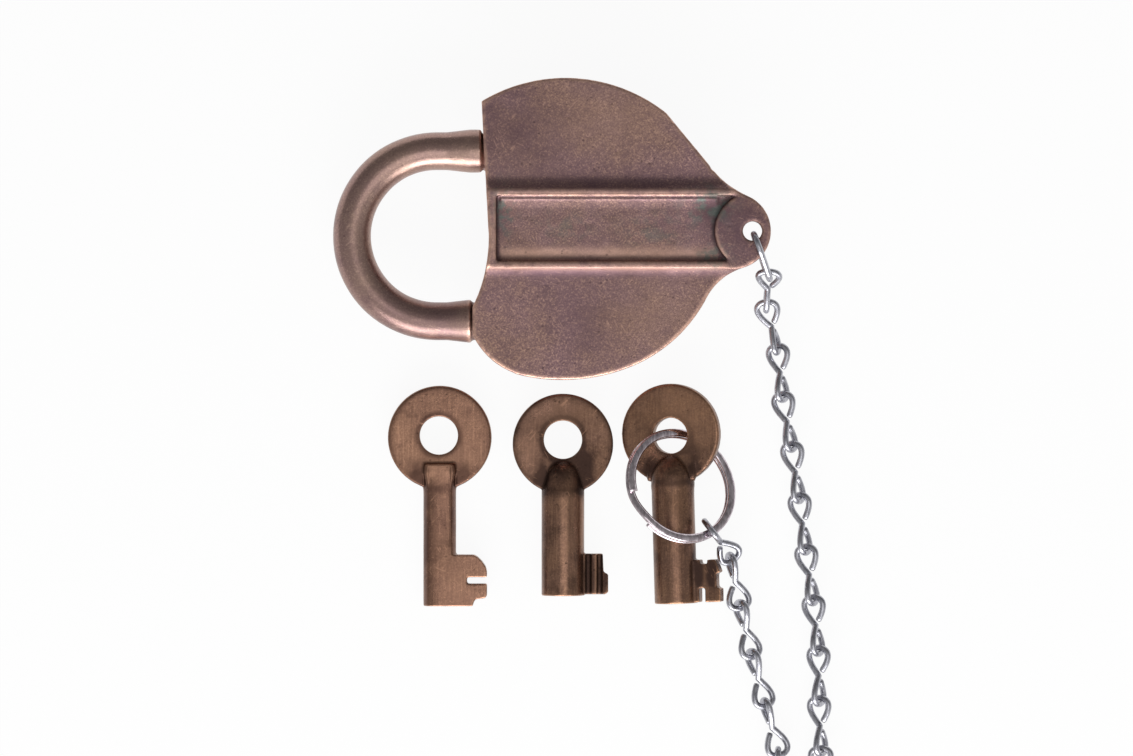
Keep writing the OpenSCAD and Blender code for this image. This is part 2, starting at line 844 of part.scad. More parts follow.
module key_3() {
  end = key_3_end;
  top = end + bit_3_h;
  x = bit_3_x;
  color([0.42, 0.32, 0.28])
    translate(key_3_at)
      rotate(key_3_turn)
        barrel_key(end, ring_hole_r, -0.4)
          bit(bit_t)
            difference() {
              polygon([[0, top], [x - 1.1, top], [x - 0.5, top - 1.6], [x, top - 3], [x - 0.9, top - 3.4],
                       [x - 0.9, end + 3.8], [x, end + 3.4], [x, end + 0.2], [0, end + 0.2]]);
              box2(x - 4.9, x - 3.1, top - 1, far);
              box2(x - 5.3, x - 3.8, end - 1, end + 3.6);
            }
}

case_front();
case_back();
case_rivets();
key_post();
shackle();
shackle_pin();
shackle_spring();
lever_pin();
lever(0);  // lever_1
lever(1);  // lever_2
lever(2);  // lever_3
lever_spring(0);  // lever_spring_1
lever_spring(1);  // lever_spring_2
lever_spring(2);  // lever_spring_3
drop();
drop_pin();
split_ring();
key_1();
key_2();
key_3();
for (k = [0:link_n - 1]) {
  chain_link(k);
}
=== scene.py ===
import json
import math

import bpy
import numpy as np
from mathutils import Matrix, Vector

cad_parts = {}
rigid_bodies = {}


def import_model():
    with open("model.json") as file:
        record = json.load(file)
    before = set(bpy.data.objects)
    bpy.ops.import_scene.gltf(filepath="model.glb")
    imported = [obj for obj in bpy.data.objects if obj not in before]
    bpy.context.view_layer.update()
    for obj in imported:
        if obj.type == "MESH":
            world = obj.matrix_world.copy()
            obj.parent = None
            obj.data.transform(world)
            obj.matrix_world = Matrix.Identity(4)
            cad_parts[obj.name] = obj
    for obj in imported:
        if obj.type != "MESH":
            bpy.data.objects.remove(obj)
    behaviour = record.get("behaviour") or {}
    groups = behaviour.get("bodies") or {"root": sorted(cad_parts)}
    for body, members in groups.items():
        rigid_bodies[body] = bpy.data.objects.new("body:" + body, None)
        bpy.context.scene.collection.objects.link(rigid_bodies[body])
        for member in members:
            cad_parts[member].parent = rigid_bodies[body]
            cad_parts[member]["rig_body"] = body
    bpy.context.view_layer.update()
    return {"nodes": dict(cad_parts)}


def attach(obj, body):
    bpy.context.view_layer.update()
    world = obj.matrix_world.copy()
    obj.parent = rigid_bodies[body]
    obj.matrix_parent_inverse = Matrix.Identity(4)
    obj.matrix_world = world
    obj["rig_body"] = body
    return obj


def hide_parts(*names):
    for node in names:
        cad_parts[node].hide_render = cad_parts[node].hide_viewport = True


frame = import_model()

MM = 0.001
scene = bpy.context.scene
scene.view_settings.view_transform = "Standard"


# Camera straight above, at the photo's framing
PIXEL = 0.24 * MM
FRAME_W, FRAME_H = 1133, 756
ORIGIN_PX = (590, 232)
LENS, SENSOR = 200.0, 36.0
SCALE_PLANE = 10 * MM
NEAR, FAR = 0.01, 50

camera_data = bpy.data.cameras.new("camera")
camera_data.lens = LENS
camera_data.sensor_width = SENSOR
camera_data.sensor_fit = "HORIZONTAL"
camera_data.clip_start = NEAR
camera_data.clip_end = FAR
camera = bpy.data.objects.new("camera", camera_data)
scene.collection.objects.link(camera)
camera.location = (
    (FRAME_W / 2 - ORIGIN_PX[0]) * PIXEL,
    (ORIGIN_PX[1] - FRAME_H / 2) * PIXEL,
    SCALE_PLANE + FRAME_W * PIXEL * LENS / SENSOR,
)
scene.camera = camera


# Noise on points, the same at each run
HASH = (374761393, 668265263, 1440662683)
HASH_SEED, HASH_MIX = 69069, 1274126177
BITS_32, BITS_24 = 0xFFFFFFFF, 0xFFFFFF
NOISE_SHIFT = 1000.0


def lattice(i, seed):
    """A number from 0 to 1 for each point of whole numbers."""
    h = (i[..., 0] * HASH[0] + i[..., 1] * HASH[1] + i[..., 2] * HASH[2] + seed * HASH_SEED) & BITS_32
    h = ((h ^ (h >> 13)) * HASH_MIX) & BITS_32
    return ((h ^ (h >> 16)) & BITS_24) / float(BITS_24)


def noise(points, size, seed, octaves=1):
    """Smooth noise from -1 to 1 with features of that size, in metres."""
    total, weight, share = 0.0, 0.0, 1.0
    for octave in range(octaves):
        p = points / (size / 2 ** octave) + NOISE_SHIFT
        base = np.floor(p).astype(np.int64)
        f = p - base
        f = f * f * (3 - 2 * f)
        value = 0.0
        for corner in range(8):
            offset = np.array([corner & 1, corner >> 1 & 1, corner >> 2 & 1])
            w = np.prod(np.where(offset == 1, f, 1 - f), axis=1)
            value = value + w * lattice(base + offset, seed + octave)
        total = total + share * (2 * value - 1)
        weight += share
        share *= 0.5
    return total / weight


def smooth_step(low, high, x):
    t = np.clip((x - low) / (high - low), 0, 1)
    return t * t * (3 - 2 * t)


# Cast pieces: the solid remeshed, its edges eased, its skin made uneven
WELD_DISTANCE = 1e-6
BEND_ROUNDS = 14
WORN_BEND = (0.02 * MM, 0.16 * MM)
HOLLOW_BEND = (0.015 * MM, 0.14 * MM)


def coords(mesh):
    co = np.empty(len(mesh.vertices) * 3, np.float32)
    mesh.vertices.foreach_get("co", co)
    return co.reshape(-1, 3).astype(float)


def set_coords(mesh, co):
    mesh.vertices.foreach_set("co", co.astype(np.float32).ravel())
    mesh.update()


def normals(mesh):
    n = np.empty(len(mesh.vertices) * 3, np.float32)
    mesh.vertex_normals.foreach_get("vector", n)
    return n.reshape(-1, 3).astype(float)


def relax(co, edges, rounds, share=0.5):
    """Points moved a share of the way to the mean of their neighbours, some rounds."""
    a, b = edges[:, 0], edges[:, 1]
    count = np.bincount(a, minlength=len(co)) + np.bincount(b, minlength=len(co))
    for _ in range(rounds):
        total = np.stack([
            np.bincount(a, co[b, k], len(co)) + np.bincount(b, co[a, k], len(co)) for k in range(3)
        ], axis=1)
        co = co + share * (total / count[:, None] - co)
    return co


def attribute(mesh, name, values):
    made = mesh.attributes.new(name, "FLOAT", "POINT")
    made.data.foreach_set("value", np.asarray(values, np.float32))


def cast(node, name, voxel, ease, skin, marks=None):
    """A piece in place of a CAD node, with worn edges and a cast or worked skin."""
    source = frame["nodes"][node]
    start = bpy.data.objects.new("start", source.data.copy())
    scene.collection.objects.link(start)
    weld = start.modifiers.new("weld", "WELD")
    weld.merge_threshold = WELD_DISTANCE
    remesh = start.modifiers.new("remesh", "REMESH")
    remesh.mode = "VOXEL"
    remesh.voxel_size = voxel
    depsgraph = bpy.context.evaluated_depsgraph_get()
    mesh = bpy.data.meshes.new_from_object(start.evaluated_get(depsgraph))
    bpy.data.objects.remove(start)
    mesh.name = name
    mesh.materials.clear()
    edges = np.empty(len(mesh.edges) * 2, np.int32)
    mesh.edges.foreach_get("vertices", edges)
    edges = edges.reshape(-1, 2)
    co = relax(coords(mesh), edges, ease)
    set_coords(mesh, co)
    n = normals(mesh)
    bend = np.einsum("ij,ij->i", co - relax(co, edges, BEND_ROUNDS), n)
    attribute(mesh, "wear", smooth_step(*WORN_BEND, bend))
    attribute(mesh, "hollow", smooth_step(*HOLLOW_BEND, -bend))
    set_coords(mesh, co + n * skin(co, n, bend)[:, None])
    if marks is not None:
        for key, values in marks(co, n).items():
            attribute(mesh, key, values)
    mesh.shade_smooth()
    piece = bpy.data.objects.new(name, mesh)
    scene.collection.objects.link(piece)
    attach(piece, source["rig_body"])
    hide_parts(node)
    return piece


# Sizes of the part that the skins need, in mm: bow centres, shank width, case thickness and recessed panel
KEY_1, KEY_2, KEY_3 = (-36.2, -49.4), (-6.5, -50.9), (19.6, -48.5)
SHANK_W = 7.9
CASE_T = 21.0
PANEL_LOW_X, PANEL_HIGH_X = -22.0, 31.0
PANEL_LOW_Y, PANEL_HIGH_Y = -7.4, 8.7
PANEL_FADE = 1.0


def blob(co, x, y, rx, ry):
    """One at a point, fading over a radius along x and one along y, in mm."""
    return np.exp(-(((co[:, 0] / MM - x) / rx) ** 2 + ((co[:, 1] / MM - y) / ry) ** 2))


def ridge(at, place, width):
    """One at a place on a scale, fading over a width."""
    return np.exp(-((at - place) / width) ** 2)


def panel_share(co):
    """One on the floor of the recessed panel in the front half, nothing outside it."""
    x, y = co[:, 0] / MM, co[:, 1] / MM
    along = smooth_step(PANEL_LOW_X, PANEL_LOW_X + PANEL_FADE, x)
    along = along * smooth_step(-PANEL_HIGH_X, PANEL_FADE - PANEL_HIGH_X, -x)
    across = (y > PANEL_LOW_Y) & (y < PANEL_HIGH_Y)
    return along * across * (co[:, 2] > CASE_T / 2 * MM)


# Grain of each skin: rows of height and size in mm, and seed
CASE_GRAIN = [(0.02, 1.0, 11), (0.03, 6.0, 21)]
BAR_GRAIN = [(0.012, 1.0, 12), (0.06, 9.0, 22)]
KEY_GRAIN = [(0.009, 0.8, 13), (0.022, 5.0, 23)]
PANEL_GRAIN = [(0.07, 1.9, 51)]
FLAT_ROUGH = [(0.08, 1.3, 61)]
CAPTIVE_ROUGH = [(0.09, 1.3, 61)]


def grain(co, rows):
    """Uneven height of a skin, in mm."""
    return sum(height * noise(co, size * MM, seed, octaves=2) for height, size, seed in rows)


# Small pits of the case: number and seed, how level a face has to be, and how steep the pits are
PIT_COUNT, PIT_SEED = 90, 7
PIT_FACE, PIT_SLOPE = 0.8, 2
# Ranges of their x, y, radius and depth, in mm
PIT_X, PIT_Y = (-30, 34), (-36, 36)
PIT_R, PIT_DEPTH = (0.25, 0.7), (0.03, 0.11)
rng = np.random.default_rng(PIT_SEED)
PITS = list(zip(
    rng.uniform(*PIT_X, PIT_COUNT),
    rng.uniform(*PIT_Y, PIT_COUNT),
    rng.uniform(*PIT_R, PIT_COUNT),
    rng.uniform(*PIT_DEPTH, PIT_COUNT),
))


def dents(co, spots):
    """Height of a face with round pits, in metres: below zero in a pit."""
    depth = np.zeros(len(co))
    for x, y, r, d in spots:
        q = np.hypot(co[:, 0] - x * MM, co[:, 1] - y * MM) / (r * MM)
        depth -= d * MM * np.exp(-q * q * PIT_SLOPE)
    return depth


# Case: the panel's floor rises to its upper wall, and sharp edges are nicked here and there
PANEL_UP = (0.5, 0.9)
PANEL_RISE, PANEL_RISE_W = 0.6, 3.6
NICK_DEPTH, NICK_SIZE, NICK_SEED = 0.16, 2.2, 31
NICK_BEND = (0.03 * MM, 0.12 * MM)
NICK_SHARE = (0.25, 0.7)


def case_skin(co, n, bend):
    floor_share = panel_share(co) * smooth_step(*PANEL_UP, n[:, 2])
    rise = smooth_step(PANEL_HIGH_Y - PANEL_RISE_W, PANEL_HIGH_Y, co[:, 1] / MM)
    height = grain(co, CASE_GRAIN) + floor_share * (grain(co, PANEL_GRAIN) + PANEL_RISE * rise)
    broken = smooth_step(*NICK_SHARE, noise(co, NICK_SIZE * MM, NICK_SEED, octaves=2))
    nick = smooth_step(*NICK_BEND, bend) * broken
    face = np.abs(n[:, 2]) > PIT_FACE
    return height * MM - NICK_DEPTH * MM * nick + np.where(face, dents(co, PITS), 0)


def bar_skin(co, n, bend):
    return grain(co, BAR_GRAIN) * MM


def key_skin(co, n, bend):
    return grain(co, KEY_GRAIN) * MM


# First key: crown of the shank and its wider head, in mm from the bow's centre; edges in half shank widths
CROWN, CROWN_EDGE = 0.6, 1.05
CROWN_TOP, BIT_TOP = (8, 10), (-27, -24)
HEAD, HEAD_EDGE, HEAD_Y, HEAD_W = 0.6, 1.2, -8.6, 2.4
FLAT_ROUGH_AT = [(-5.4, -8.4, 2, 2.6, 1.0), (5.6, -8.4, 2, 2.6, 1.0)]
# Captive key: shoulder of its dome, in mm from the bow's centre, and rough places in the part's frame
SHOULDER, SHOULDER_Y, SHOULDER_W = 0.65, -9.8, 2.3
SHOULDER_EDGE = (-6.0, -5.3)
CAPTIVE_ROUGH_AT = [(14, -56, 4, 5, 1.0), (26, -56, 4, 5, 1.0)]


def patches(co, rows, centre=(0, 0)):
    """Sum of blobs: rows of x, y, x radius, y radius and share, in mm from a centre."""
    return sum(share * blob(co, centre[0] + x, centre[1] + y, rx, ry) for x, y, rx, ry, share in rows)


def flat_key_skin(co, n, bend):
    """The first key's shank is crowned, but not where the bit joins it, and its head is a little wider."""
    x, y = (co[:, 0] / MM - KEY_1[0]) / (SHANK_W / 2), co[:, 1] / MM - KEY_1[1]
    shank = smooth_step(*CROWN_TOP, -y) * (np.abs(x) < CROWN_EDGE)
    shank = shank * np.where(x > 0, smooth_step(*BIT_TOP, y), 1)
    head = ridge(y, HEAD_Y, HEAD_W) * (np.abs(x) < HEAD_EDGE) * np.abs(n[:, 0])
    rough = patches(co, FLAT_ROUGH_AT, KEY_1) * grain(co, FLAT_ROUGH)
    shape = HEAD * head - CROWN * shank * x * x * np.abs(n[:, 2]) + rough
    return key_skin(co, n, bend) + MM * shape


def captive_key_skin(co, n, bend):
    """The captive key has a full shoulder, and is left rough from the mould on the bow beside its dome."""
    beside = np.abs(co[:, 0] / MM - KEY_3[0])
    shoulder = ridge(co[:, 1] / MM - KEY_3[1], SHOULDER_Y, SHOULDER_W) * smooth_step(*SHOULDER_EDGE, -beside)
    rough = patches(co, CAPTIVE_ROUGH_AT) * grain(co, CAPTIVE_ROUGH)
    return key_skin(co, n, bend) + MM * (rough + SHOULDER * shoulder)


# Marks of use, with painted shade and painted light among them, as patches: x, y, x radius, y radius and
# share, in mm
# Grime on the case, with painted shade in the valley above the band, along the lower rim and at both ends of
# the panel
CASE_GRIME_AND_SHADE = [
    (37, 1, 7, 9, 1.0), (-20, 24, 12, 9, 0.7), (4, 12, 22, 2.6, 0.7), (0, -21, 9, 9, 0.5),
    (3, -9.9, 42, 1.3, 1.2), (29, 4.5, 3.5, 4.5, 0.9), (-21, 2.6, 1.8, 6, 0.45),
]
CASE_WARM = [(4, 27, 14, 9, 1.0), (16, -20, 12, 8, 1.0), (-16, 10, 8, 8, 0.5)]
CASE_GREEN = [
    (-20.5, 5, 2.5, 6, 1.0), (28, 6, 5, 4, 1.3), (29, -6, 4, 3, 1.0),
    (-6, 1, 6, 3.5, 0.5), (15, 0, 7, 3.5, 0.6),
]
# Painted light on the case: a glow on the panel floor by its lower wall, and a painted highlight along the
# lower rim
PANEL_PAINTED_LIGHT = [(3, -5.4, 40, 1.5, 1.0)]
RIM_PAINTED_HIGHLIGHT = [(3, -8.9, 40, 0.5, 0.6)]
# Painted shade on the shackle's lower leg and a painted highlight on its upper leg
BAR_PAINTED_SHADE = [(-36, -21, 14, 7, 0.5)]
BAR_PAINTED_HIGHLIGHT = [(-36, 20, 14, 7, 0.25)]
# Those of the keys, from the bow's centre
# The first key: grime where the bow meets the shank, with painted shade down both sides of the shank
FLAT_GRIME_AND_SHADE = [
    (-5.4, -8.6, 1.9, 2.4, 1.5), (5.6, -8.6, 1.9, 2.4, 1.5), (-3.6, -25, 1, 18, 0.9),
    (3.6, -18, 0.9, 8, 0.8), (8.5, -34.5, 2, 1, 0.7), (0, -25, 6, 14, 0.3),
]
FLAT_WARM = [(0, -6, 10, 4, 0.8), (7, 4, 5, 8, 0.5), (4, -36, 6, 4, 0.6)]
# The barrel keys: grime where the bow meets the barrel, with painted shade down the barrel's left side and
# in the bit's grooves
BARREL_GRIME_AND_SHADE = [
    (-5.4, -9, 1.7, 3.4, 1.4), (5.4, -9, 1.7, 3.4, 1.4), (-1, -7, 3, 1.8, 0.6), (6.4, -31.5, 1.3, 7, 1.8),
    (9.7, -31.5, 1.3, 7, 1.6), (-4.6, -24, 0.9, 16, 0.7), (5, -4, 2.6, 2.2, 0.7),
]
# Warm tone on the barrel keys, with a painted highlight down the middle of the barrel and along the bit's
# ridge
BARREL_WARM_AND_HIGHLIGHT = [(0, 7, 8, 4, 0.7), (-8, -2, 3, 6, 0.5), (1.5, -20, 1.6, 12, 0.6), (7.9, -32, 0.4, 6, 0.8)]
LOOSE_GRIME_AND_SHADE = BARREL_GRIME_AND_SHADE + [(0, 2, 11, 10, 0.7)]
CAPTIVE_GRIME_AND_SHADE = BARREL_GRIME_AND_SHADE + [(0, -24, 6, 14, 0.38)]
CAPTIVE_POLISH = [(2, 3, 10, 8, 0.35)]
# How far a face has to look up to be marked, and how the patches fray: depth, size in mm and seed
CASE_UP, CASE_DARK_UP, KEY_UP = (0.2, 0.8), (0.0, 0.5), (-0.3, 0.5)
CASE_FRAY, KEY_FRAY = (0.5, 5.0, 41), (0.6, 2.6, 71)
# Holes of the bows: x, y from the bow's centre and radius, in mm
HOLE_1, HOLE_2, HOLE_3 = (-0.2, 0.5, 4.6), (0.0, 1.0, 4.6), (0.0, -0.4, 4.3)
FLAT_BOW_R, BARREL_BOW_R = 12.5, 12.1
# Dark rings at the hole and at the bow's edge, the one at the edge painted shade: share, place from the edge
# and width, in mm
HOLE_RING, EDGE_SHADE_RING = (0.9, 0.4, 0.8), (0.55, -0.2, 1.1)


def fray(co, depth, size, seed):
    """A factor round one that frays the patches."""
    return 1 + depth * noise(co, size * MM, seed, octaves=3)


def case_marks(co, n):
    up = smooth_step(*CASE_UP, n[:, 2])
    frayed = fray(co, *CASE_FRAY)
    glow = patches(co, PANEL_PAINTED_LIGHT) * panel_share(co) + patches(co, RIM_PAINTED_HIGHLIGHT)
    # Dark is grime with painted shade; polish is painted light only: a glow on the panel floor and a
    # highlight along the lower rim
    return {
        "dark": np.clip(patches(co, CASE_GRIME_AND_SHADE) * frayed, 0, 1) * smooth_step(*CASE_DARK_UP, n[:, 2]),
        "warm": np.clip(patches(co, CASE_WARM) * frayed, 0, 1) * up,
        "green": np.clip(patches(co, CASE_GREEN) * frayed, 0, 1) * up,
        "polish_and_painted_light": np.clip(glow * frayed, 0, 1) * up,
    }


def bar_marks(co, n):
    """The shackle has painted shade on its heel side and a painted highlight on its toe side."""
    frayed = fray(co, *CASE_FRAY)
    return {
        "dark": np.clip(patches(co, BAR_PAINTED_SHADE) * frayed, 0, 1),
        "warm": np.zeros(len(co)),
        "green": np.zeros(len(co)),
        "polish_and_painted_light": np.clip(patches(co, BAR_PAINTED_HIGHLIGHT) * frayed, 0, 1),
    }


def circle(co, x, y, r, share, place, width):
    """A ring round a point, beside a radius, in mm."""
    return share * np.exp(-((np.hypot(co[:, 0] / MM - x, co[:, 1] / MM - y) - r - place) / width) ** 2)


def key_marks(centre, hole, bow_r, grime_and_shade, warm, polish_and_painted_light=()):
    def marks(co, n):
        up = smooth_step(*KEY_UP, n[:, 2])
        frayed = fray(co, *KEY_FRAY)
        # Dark is grime at the joints plus painted shade on the shank's and barrel's sides, in the bit's
        # grooves and round the bow's rim; warm holds painted highlights on the barrel keys
        dark = patches(co, grime_and_shade, centre) + circle(co, *centre, bow_r, *EDGE_SHADE_RING)
        dark = dark + circle(co, centre[0] + hole[0], centre[1] + hole[1], hole[2], *HOLE_RING)
        return {
            "dark": np.clip(dark * frayed, 0, 1) * up,
            "warm": np.clip(patches(co, warm, centre) * frayed, 0, 1) * up,
            "green": np.zeros(len(co)),
            "polish_and_painted_light": patches(co, polish_and_painted_light, centre) * up,
        }

    return marks


# Size of the remeshing, in metres; ease is the rounds of easing
MAIN_VOXEL, BACK_VOXEL, FINE_VOXEL = 0.32 * MM, 0.36 * MM, 0.22 * MM

case_front = cast(
    "case_front", "case_front_cast", voxel=MAIN_VOXEL, ease=4, skin=case_skin, marks=case_marks)
case_back = cast(
    "case_back", "case_back_cast", voxel=BACK_VOXEL, ease=4, skin=case_skin, marks=case_marks)
shackle = cast("shackle", "shackle_bar", voxel=MAIN_VOXEL, ease=3, skin=bar_skin, marks=bar_marks)
drop = cast("drop", "keyhole_drop", voxel=FINE_VOXEL, ease=2, skin=key_skin)
keys = [
    cast("key_1", "key_1_flat", voxel=FINE_VOXEL, ease=6, skin=flat_key_skin,
         marks=key_marks(KEY_1, HOLE_1, FLAT_BOW_R, FLAT_GRIME_AND_SHADE, FLAT_WARM)),
    cast("key_2", "key_2_barrel", voxel=FINE_VOXEL, ease=3, skin=key_skin,
         marks=key_marks(KEY_2, HOLE_2, BARREL_BOW_R, LOOSE_GRIME_AND_SHADE, BARREL_WARM_AND_HIGHLIGHT)),
    cast("key_3", "key_3_barrel", voxel=FINE_VOXEL, ease=3, skin=captive_key_skin,
         marks=key_marks(KEY_3, HOLE_3, BARREL_BOW_R, CAPTIVE_GRIME_AND_SHADE, BARREL_WARM_AND_HIGHLIGHT, CAPTIVE_POLISH)),
]


# Wire pieces: round tubes along the same lines as the solids, in mm and degrees
WIRE_R, WIRE_SIDES = 0.75, 14
# Wear where the links bear on each other, the thinner ends, and steps along the wire
WIRE_WORN, WORN_SPAN, BEARINGS = 0.03, 24, (90, 270)
END_TAPER = 0.14
LINK_STEPS, BOW_STEPS = 121, 33
# Ear of the case with its eye, and how the first link leaves it
EAR_T, EYE_R, EAR_R = 2.6, 2.3, 9.1
EYE, EAR = np.array([38.7, 0.0]), np.array([34.0, 0.0])
HOOK_DIR, HOOK_TILT = np.array([0.371, -0.928]), math.radians(33)
HOOK_BACK, HOOK_W = 3.55, 3.2
# Half widths of the loops, gaps between wires and above the table, and the leads at both ends
LOOP_W, RING_LOOP_W = 2.5, 3.4
GAP, REST_GAP = 0.1, 0.05
FIRST_PITCH, RING_LEAD = 11.6, 2.7
LINK_Z = LOOP_W + WIRE_R + REST_GAP
SLOPE_RISE, BEND_RISE = 2.9, 0.6
# Start of a link's wire, how far links lie over, and the number between the two links at the turn
LINK_CUT, LINK_ROLL, ROLL_STEP, TURN_K = 9.4, 28, 16, 12.5
# Split ring: sizes, place and slope, where the last link hangs on it, and how its coils run and cross
RING_D, RING_W, COIL_T, COIL_GAP = 28.6, 2.0, 1.25, 0.1
RING_C, RING_SLOPE = np.array([21.8, -61.0, 8.8]), (-0.5, -0.38)
HANG = math.radians(-60)
RING_START, RING_TURN, CROSS_AT, CROSS_SPAN = 222, 684, 322, 36
RING_ROUND, RING_SIDES, RING_STEPS = 2.1, 28, 343
UP = np.array([0.0, 0.0, 1.0])
# Places where two links meet: the one on the slope down from the ear, those on the table, the last bend
SLOPE_HUB = np.array([42.3, -17.2, LINK_Z + SLOPE_RISE])
FLAT_HUBS = [
    (45.2, -28), (46.4, -39.6), (48.6, -51.6), (50.4, -64), (52, -76.4), (53.8, -88.6), (55.1, -100.8),
    (55.2, -112.9), (55.7, -125), (56.6, -137.2), (44.6, -137.4), (45.6, -125.2), (42.2, -113.4),
    (39, -101.6), (36.2, -89.8),
]
LAST_BEND = np.array([34.2, -78.2, LINK_Z + BEND_RISE])


def unit(v):
    return v / np.linalg.norm(v)


# Frame of the ring, and the point where the last link hangs on it
ring_n = unit(np.array([-RING_SLOPE[0], -RING_SLOPE[1], 1.0]))
ring_u = unit(np.array([1.0, 0.0, RING_SLOPE[0]]))
ring_v = np.cross(ring_n, ring_u)
ring_r = (RING_D - RING_W) / 2
hang = RING_C + ring_r * (math.cos(HANG) * ring_u + math.sin(HANG) * ring_v)

# First link: round the wall of the ear, and down from it
hook_off = float((EYE - EAR) @ HOOK_DIR)
wall_out = math.sqrt(hook_off ** 2 - float((EYE - EAR) @ (EYE - EAR)) + EAR_R ** 2) - hook_off
hook_s = (EYE_R + wall_out) / 2 - HOOK_BACK * math.cos(HOOK_TILT)
hook = np.array([*(EYE + hook_s * HOOK_DIR), CASE_T - EAR_T / 2 + HOOK_BACK * math.sin(HOOK_TILT)])
hook_way = np.array([*(math.cos(HOOK_TILT) * HOOK_DIR), -math.sin(HOOK_TILT)])

hubs = [hook, hook + FIRST_PITCH * hook_way, SLOPE_HUB]
hubs += [np.array([x, y, LINK_Z]) for x, y in FLAT_HUBS]
hubs += [LAST_BEND, hang + RING_LEAD * unit(hang - LAST_BEND)]
LINKS = len(hubs) - 1
headings = [unit(hubs[k + 1] - hubs[k]) for k in range(LINKS)]


def parting(k):
    """Direction in which the wires of two links part at a hub."""
    o, n = headings[k - 1], headings[min(k, LINKS - 1)]
    f = np.linalg.norm(o[:2]) / np.linalg.norm(n[:2])
    return np.array([n[0] * f, n[1] * f, o[2]])


reach = WIRE_R + GAP / 2
starts = [hubs[0]] + [hubs[k] - reach * parting(k) for k in range(1, LINKS)]
ends = [hubs[k] + reach * parting(k) for k in range(1, LINKS)] + [hubs[LINKS]]


def tube(name, sections, closed=False):
    """A mesh through rings of points, in mm, open tubes capped."""
    n, m = len(sections), len(sections[0])
    points = np.concatenate(sections) * MM
    last = n if closed else n - 1
    faces = [
        (i * m + j, i * m + (j + 1) % m, (i + 1) % n * m + (j + 1) % m, (i + 1) % n * m + j)
        for i in range(last) for j in range(m)
    ]
    if not closed:
        faces += [tuple(range(m))[::-1], tuple(range((n - 1) * m, n * m))]
    mesh = bpy.data.meshes.new(name)
    mesh.from_pydata(points.tolist(), [], faces)
    mesh.update()
    mesh.shade_smooth()
    piece = bpy.data.objects.new(name, mesh)
    scene.collection.objects.link(piece)
    return piece


def round_sections(line, radius, side, closed=False):
    """Circles across a line, with the frame carried along without twist."""
    line = np.array(line)
    ahead = np.roll(line, -1, 0) - np.roll(line, 1, 0)
    if not closed:
        ahead[0] = line[1] - line[0]
        ahead[-1] = line[-1] - line[-2]
    t = ahead / np.linalg.norm(ahead, axis=1)[:, None]
    made = []
    turns = np.linspace(0, 2 * math.pi, WIRE_SIDES, endpoint=False)
    for i in range(len(line)):
        side = unit(side - (side @ t[i]) * t[i])
        other = np.cross(t[i], side)
        made.append(line[i] + radius[i] * (np.cos(turns)[:, None] * side + np.sin(turns)[:, None] * other))
    return made


def roll(k):
    """How far a link lies over: not beside the ends and the turn of the chain, and more away from them."""
    return math.radians(min(LINK_ROLL, ROLL_STEP * min(k - 1, LINKS - 1 - k, abs(k - TURN_K) - 0.5)))


def jack_link(name, s, e, w0, w1, turn):
    """One wire bent into two loops at right angles, a little worn where the links bear on each other."""
    c, d, a = (s + e) / 2, unit(e - s), np.linalg.norm(e - s) / 2
    flat = unit(np.cross(UP, d))
    left = flat * math.cos(turn) + np.cross(d, flat) * math.sin(turn)
    over = np.cross(d, left)
    degrees = np.linspace(LINK_CUT, 360 - LINK_CUT, LINK_STEPS)
    t = np.radians(degrees)
    swing = np.where(t < math.pi, w0, w1) * np.sin(2 * t)
    line = c - np.outer(a * np.sin(t), d)
    line += np.where((t < math.pi)[:, None], swing[:, None] * left, swing[:, None] * over)
    radius = WIRE_R - WIRE_WORN * sum(ridge(degrees, place, WORN_SPAN) for place in BEARINGS)
    radius[[0, -1]] = WIRE_R - END_TAPER
    return tube(name, round_sections(line, radius, over))


def long_link(name, s, e, w):
    """A plain closed link with two straight sides."""
    c, d = (s + e) / 2, unit(e - s)
    left = unit(np.cross(UP, d))
    over = np.cross(d, left)
    h = np.linalg.norm(e - s) / 2 - w
    turn = np.radians(np.linspace(-90, 90, BOW_STEPS))
    line = [c + h * d + w * (math.cos(x) * d + math.sin(x) * over) for x in turn]
    line += [c - h * d - w * (math.cos(x) * d + math.sin(x) * over) for x in turn]
    return tube(name, round_sections(line, np.full(len(line), WIRE_R), left, True), True)


chain = []
for k in range(LINKS):
    label = f"{k + 1:02d}"
    if k == 0:
        link = long_link("chain_wire_" + label, starts[k], ends[k], HOOK_W)
    else:
        last_w = RING_LOOP_W if k == LINKS - 1 else LOOP_W
        link = jack_link("chain_wire_" + label, starts[k], ends[k], LOOP_W, last_w, roll(k))
    node = "chain_link_" + label
    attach(link, frame["nodes"][node]["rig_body"])
    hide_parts(node)
    chain.append(link)


def rounded(x):
    """A sine or cosine brought out a little, so that the ring's section is fuller than an oval."""
    return math.copysign(abs(x) ** (2 / RING_ROUND), x)


around = np.linspace(0, 2 * math.pi, RING_SIDES, endpoint=False)
section = [(RING_W / 2 * rounded(math.cos(x)), COIL_T / 2 * rounded(math.sin(x))) for x in around]
rings = []
for x in np.linspace(0, RING_TURN, RING_STEPS):
    lift = (smooth_step(CROSS_AT, CROSS_AT + CROSS_SPAN, x) - 0.5) * (COIL_T + COIL_GAP)
    angle = math.radians(RING_START + x)
    out = math.cos(angle) * ring_u + math.sin(angle) * ring_v
    rings.append(np.array([RING_C + out * (ring_r + p) + ring_n * (lift + q) for p, q in section]))
split_ring = tube("split_ring_wire", [r[::-1] for r in rings])
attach(split_ring, frame["nodes"]["split_ring"]["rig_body"])
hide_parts("split_ring")


